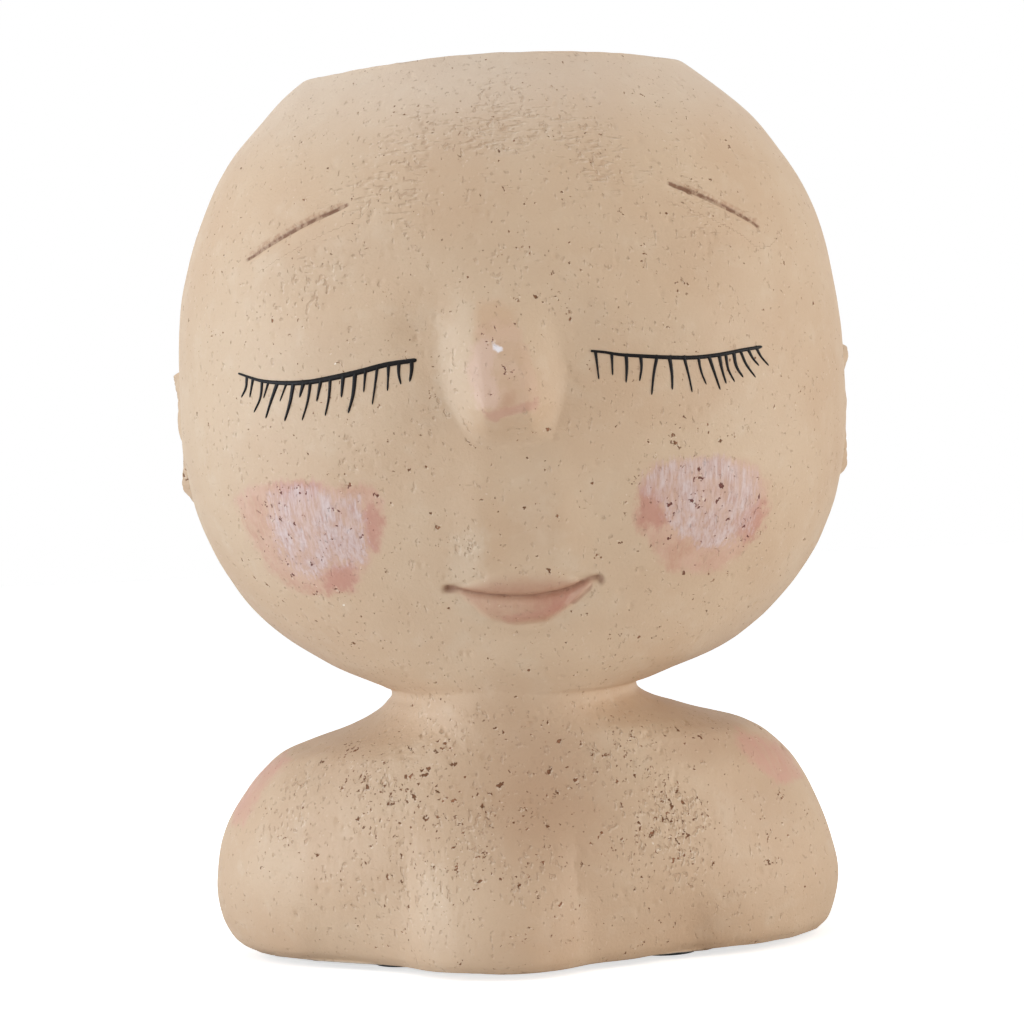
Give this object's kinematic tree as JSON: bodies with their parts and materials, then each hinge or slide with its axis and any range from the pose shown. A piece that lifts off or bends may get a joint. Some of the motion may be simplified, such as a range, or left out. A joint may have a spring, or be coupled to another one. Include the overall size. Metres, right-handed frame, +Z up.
{
  "type": "head planter",
  "caption": "Hollow head-and-bust planter with closed painted eyes, open crown, drain hole with a pull-out rubber stopper, and foot pads.",
  "frame": {"origin": "on the surface that the foot pads stand on, under the middle of the planter", "axes": "+Z up, the face looks towards -Y, +X to the right of someone who faces it"},
  "size_m": [0.1604, 0.147, 0.205],
  "materials": {
    "cast_stone": "matt painted cast stone and resin, tan, pitted",
    "stopper_rubber": "soft black rubber",
    "pad_rubber": "black rubber pad",
    "black_enamel": "thick black enamel",
    "pink_paint": "dry-brushed pink paint",
    "lip_paint": "thin brownish pink paint"
  },
  "bodies": {
    "planter": {"casting": "cast_stone", "foot_pad_front_left": "pad_rubber", "foot_pad_front_right": "pad_rubber", "foot_pad_back_left": "pad_rubber", "foot_pad_back_right": "pad_rubber", "lashes_left": "black_enamel", "lashes_right": "black_enamel", "cheek_paint_left": "pink_paint", "cheek_paint_right": "pink_paint", "nose_paint": "pink_paint", "lip_paint": "lip_paint"},
    "stopper": {"drain_plug": "stopper_rubber"}
  },
  "joints": [
    {"name": "stopper_pull", "type": "slide", "parent": "planter", "child": "stopper", "axis": [0, 0, -1], "range_m": [0, 0.016]}
  ]
}
